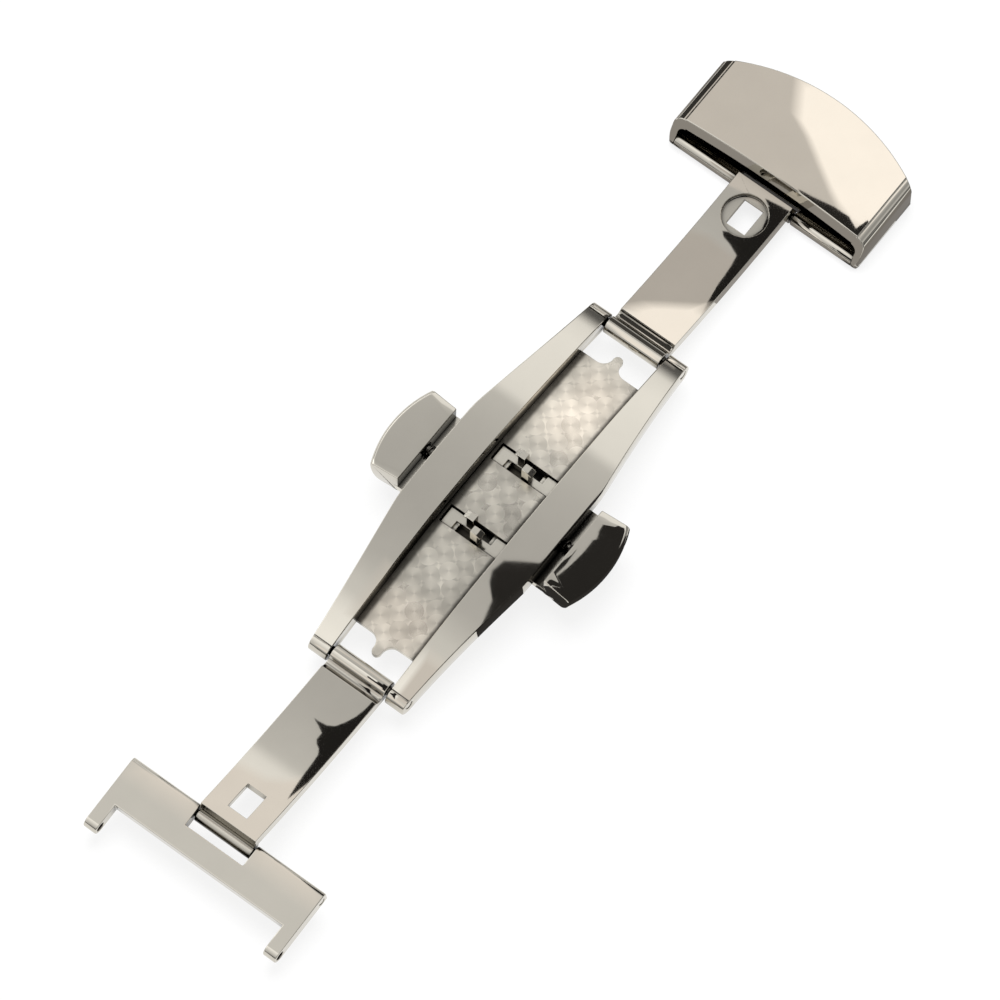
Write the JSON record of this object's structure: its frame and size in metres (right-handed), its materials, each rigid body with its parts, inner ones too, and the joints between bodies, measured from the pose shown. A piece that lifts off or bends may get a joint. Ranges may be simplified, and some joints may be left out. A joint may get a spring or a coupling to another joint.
{
  "type": "deployant clasp",
  "caption": "Butterfly deployant clasp: curved twin-rail housing with side push buttons, two folding arms, a strap bar plate and a bowed cap.",
  "frame": {"origin": "centre of the flat underside of the housing's base cover, under the middle of the housing", "axes": "+X along the clasp towards the cap, +Y across it towards the left button, +Z out from the wrist"},
  "size_m": [0.0936, 0.0232, 0.0062],
  "materials": {
    "polished_steel": "mirror polished stainless steel with fine hairline scratches",
    "brushed_steel": "satin stainless steel, brushed along the clasp",
    "patterned_steel": "circular grained stainless plate, overlapping spots",
    "pin_steel": "drawn and polished stainless wire and rod",
    "slide_steel": "stamped stainless steel, lightly polished",
    "spring_steel": "drawn spring wire"
  },
  "bodies": {
    "housing": {"housing": "polished_steel", "floor_plate": "patterned_steel", "base_cover": "brushed_steel", "cover_rivets": "pin_steel", "hinge_pin_a": "pin_steel", "hinge_pin_b": "pin_steel", "spring_left": "spring_steel", "spring_right": "spring_steel"},
    "cap_arm": {"arm_a": "polished_steel"},
    "plate_arm": {"arm_b": "polished_steel"},
    "cap": {"cap_cover": "polished_steel", "cap_base": "polished_steel", "cap_pin": "pin_steel", "strap_peg": "pin_steel"},
    "plate": {"end_plate": "polished_steel", "plate_pin": "pin_steel"},
    "left_push": {"button_left": "polished_steel", "slide_left": "slide_steel", "guide_pin_left": "pin_steel"},
    "right_push": {"button_right": "polished_steel", "slide_right": "slide_steel", "guide_pin_right": "pin_steel"}
  },
  "joints": [
    {"name": "cap_arm_fold", "type": "hinge", "parent": "housing", "child": "cap_arm", "pos_m": [0.0195, 0, 0.00084], "axis": [0, -1, 0], "range_deg": [0, 177.2]},
    {"name": "plate_arm_fold", "type": "hinge", "parent": "housing", "child": "plate_arm", "pos_m": [-0.0195, 0, 0.00084], "axis": [0, 1, 0], "range_deg": [0, 168.4]},
    {"name": "cap_swing", "type": "hinge", "parent": "cap_arm", "child": "cap", "pos_m": [0.03856, 0, -0.00189], "axis": [0, -1, 0], "range_deg": [-177.2, 0]},
    {"name": "plate_swing", "type": "hinge", "parent": "plate_arm", "child": "plate", "pos_m": [-0.03836, 0, 0.00097], "axis": [0, 1, 0], "range_deg": [-160.4, 0]},
    {"name": "left_press", "type": "slide", "parent": "housing", "child": "left_push", "axis": [0, -1, 0], "range_m": [0, 0.0007], "stiffness_N_per_m": 400, "springref_m": -0.002},
    {"name": "right_press", "type": "slide", "parent": "housing", "child": "right_push", "axis": [0, 1, 0], "range_m": [0, 0.0007], "stiffness_N_per_m": 400, "springref_m": -0.002}
  ],
  "couplings": [
    {"joint": "cap_swing", "follows": "cap_arm_fold", "ratio": -1},
    {"joint": "plate_swing", "follows": "plate_arm_fold", "ratio": -0.95249}
  ]
}
